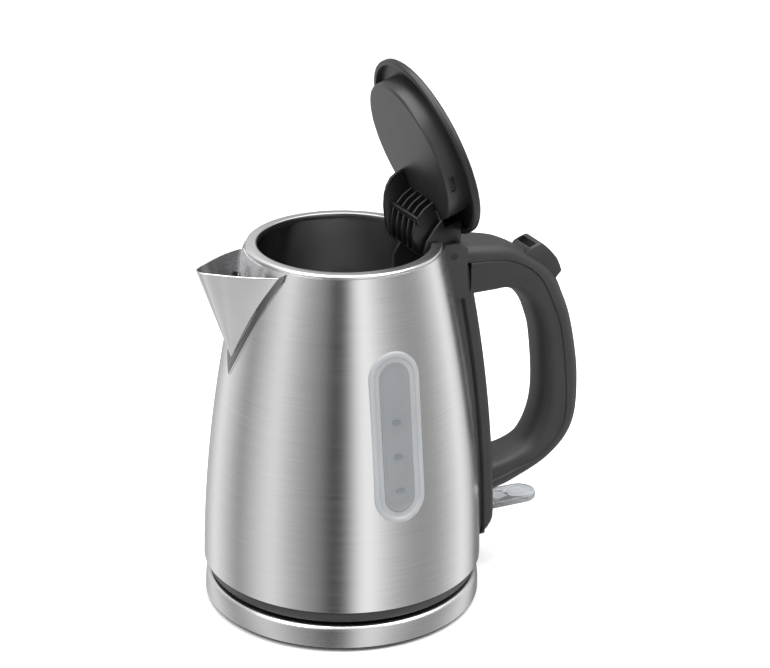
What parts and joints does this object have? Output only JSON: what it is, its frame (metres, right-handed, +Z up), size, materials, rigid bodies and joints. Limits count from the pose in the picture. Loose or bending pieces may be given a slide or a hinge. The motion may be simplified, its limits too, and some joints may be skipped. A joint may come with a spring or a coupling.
{
  "type": "electric kettle",
  "caption": "Cordless electric kettle: tapered steel jug with V spout, water gauge, hinged lid and loop handle on a round power base.",
  "frame": {"origin": "centre of the plane that the feet stand on, on the jug's axis", "axes": "+Z up, +X towards the handle, -X towards the spout"},
  "size_m": [0.2238, 0.151, 0.2946],
  "materials": {
    "steel": "fine horizontal brushing",
    "rim_steel": "satin",
    "base_steel": "fine horizontal brushing",
    "floor_steel": "spun satin",
    "aluminium": "plain",
    "element_sheath": "dull oxide",
    "black_plastic": "fine grain",
    "lid_plastic": "satin",
    "plug_plastic": "satin",
    "handle_plastic": "soft-touch matt",
    "pale_plastic": "plain",
    "gauge_clear": "frosted",
    "paddle_clear": "clear",
    "lamp": "clear",
    "rubber": "plain",
    "silicone": "translucent",
    "brass": "plain",
    "spring_steel": "bright"
  },
  "bodies": {
    "base": {"base_bottom": "black_plastic", "base_ring": "base_steel", "base_top": "black_plastic", "base_connector": "black_plastic", "base_contacts": "brass", "base_feet": "rubber", "base_screws": "spring_steel", "cord_gland": "rubber"},
    "swivel": {"swivel_ring": "pale_plastic"},
    "jug": {"jug_shell": "steel", "rim_ring": "rim_steel", "spout": "steel", "gauge_window": "gauge_clear", "gauge_chamber": "gauge_clear", "gauge_gasket": "silicone", "heater_plate": "floor_steel", "heat_spreader": "aluminium", "heating_element": "element_sheath", "thermal_control": "pale_plastic", "bimetal_discs": "brass", "jug_contacts": "brass", "bottom_skirt": "black_plastic", "skirt_screws": "spring_steel", "back_channel": "handle_plastic", "handle_grip": "handle_plastic", "handle_cover": "handle_plastic", "mount_bracket": "spring_steel", "handle_screws": "spring_steel", "steam_tube": "silicone", "steam_switch": "pale_plastic", "steam_disc": "brass", "indicator_lamp": "lamp", "hinge_bracket": "black_plastic", "hinge_pin": "spring_steel", "lid_spring": "spring_steel", "button_spring": "spring_steel", "latch_spring": "spring_steel", "toggle_spring": "spring_steel"},
    "lid": {"lid_cover": "lid_plastic", "lid_plug": "plug_plastic", "lid_arm": "black_plastic"},
    "button": {"release_button": "black_plastic"},
    "latch": {"latch_slide": "pale_plastic"},
    "lever": {"switch_lever": "paddle_clear", "lever_rocker": "black_plastic"}
  },
  "joints": [
    {"name": "jug_turn", "type": "hinge", "parent": "base", "child": "swivel", "pos_m": [0, 0, 0.015], "axis": [0, 0, 1], "continuous": true},
    {"name": "jug_lift", "type": "slide", "parent": "swivel", "child": "jug", "axis": [0, 0, 1], "range_m": [0, 0.08]},
    {"name": "lid_hinge", "type": "hinge", "parent": "jug", "child": "lid", "pos_m": [0.0544, 0, 0.192], "axis": [0, 1, 0], "range_deg": [-70, 0], "stiffness_Nm_per_rad": 0.06, "springref_deg": 51.57, "deforming": ["lid_spring"]},
    {"name": "button_press", "type": "slide", "parent": "jug", "child": "button", "axis": [-0.6921, 0, -0.7218], "range_m": [0, 0.0035], "stiffness_N_per_m": 600, "springref_m": -0.001, "deforming": ["button_spring"]},
    {"name": "latch_slide_joint", "type": "slide", "parent": "jug", "child": "latch", "axis": [-1, 0, 0], "range_m": [0, 0.003], "deforming": ["latch_spring"]},
    {"name": "lever_rock", "type": "hinge", "parent": "jug", "child": "lever", "pos_m": [0.08044, 0, 0.0345], "axis": [0, 1, 0], "range_deg": [0, 8], "deforming": ["toggle_spring"]}
  ],
  "couplings": [
    {"joint": "latch_slide_joint", "follows": "button_press", "ratio": 0.6921}
  ]
}
